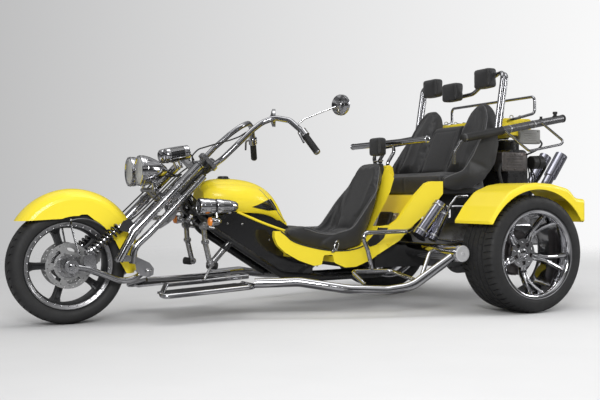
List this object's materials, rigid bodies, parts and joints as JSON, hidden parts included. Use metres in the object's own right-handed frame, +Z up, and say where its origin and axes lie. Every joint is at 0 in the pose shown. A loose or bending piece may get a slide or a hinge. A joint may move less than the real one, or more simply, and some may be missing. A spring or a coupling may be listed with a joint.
{
  "type": "motorized trike",
  "caption": "Three-wheeled motor trike with a raked fork, high pulled-back bars, a bucket seat for the driver and a rear bench between wide rear wheels.",
  "frame": {"origin": "centre of the footprint at ground level", "axes": "+X forward, +Y to the driver's left, +Z up"},
  "size_m": [3.7491, 1.872, 1.478],
  "materials": {
    "yellow_paint": "gloss",
    "chrome": "polished",
    "black_frame": "satin",
    "black_gloss": "gloss",
    "black_plastic": "matte",
    "seat_leather": "satin",
    "tyre": "matte",
    "rubber": "matte",
    "rim_grey": "satin",
    "rim_chrome": "polished",
    "steel": "brushed",
    "alloy_cast": "cast",
    "amber_lens": "clear"
  },
  "bodies": {
    "chassis": {"main_frame": "black_frame", "torsion_tube": "chrome", "trailing_arms": "black_frame", "transaxle": "alloy_cast", "engine_block": "alloy_cast", "engine_cooling": "black_plastic", "exhaust": "chrome", "rear_shocks": "steel", "rear_fender_left": "yellow_paint", "rear_fender_right": "yellow_paint", "signal_lamps": "amber_lens", "fuel_tank": "yellow_paint", "neck_fairing": "black_gloss", "driver_seat": "seat_leather", "body_tub": "yellow_paint", "bench_cushion": "seat_leather", "bench_backrests": "seat_leather", "headrests": "seat_leather", "roll_bar": "chrome", "grab_bar": "chrome", "side_tubes": "steel", "rear_deck": "yellow_paint", "luggage_rack": "chrome", "side_bars": "chrome", "footboards": "chrome", "foot_pedals": "steel", "passenger_footrests": "chrome", "side_covers": "chrome", "aux_lamps": "chrome", "battery_box": "black_plastic"},
    "steering": {"fork_legs": "chrome", "fork_clamps": "chrome", "swing_arm": "chrome", "front_shocks": "steel", "front_axle": "steel", "front_fender": "yellow_paint", "fender_stays": "chrome", "brake_calipers": "alloy_cast", "headlamps": "chrome", "gauge_pods": "chrome", "handlebar": "chrome", "hand_grips": "rubber", "hand_controls": "steel", "control_cable": "black_plastic", "mirrors": "chrome"},
    "front_wheel": {"front_tyre": "tyre", "front_rim": "rim_grey", "front_discs": "steel"},
    "rear_wheel_left": {"rear_tyre_left": "tyre", "rear_rim_left": "rim_chrome"},
    "rear_wheel_right": {"rear_tyre_right": "tyre", "rear_rim_right": "rim_chrome"}
  },
  "joints": [
    {"name": "steering", "type": "hinge", "parent": "chassis", "child": "steering", "pos_m": [0.82106, 0, 0.784], "axis": [-0.7133, 0, 0.7009], "range_deg": [-32, 32]},
    {"name": "front_wheel_spin", "type": "hinge", "parent": "steering", "child": "front_wheel", "pos_m": [1.56256, 0, 0.312], "axis": [0, 1, 0], "continuous": true},
    {"name": "rear_left_spin", "type": "hinge", "parent": "chassis", "child": "rear_wheel_left", "pos_m": [-0.88344, 0.785, 0.336], "axis": [0, 1, 0], "continuous": true},
    {"name": "rear_right_spin", "type": "hinge", "parent": "chassis", "child": "rear_wheel_right", "pos_m": [-0.88344, -0.785, 0.336], "axis": [0, 1, 0], "continuous": true}
  ]
}
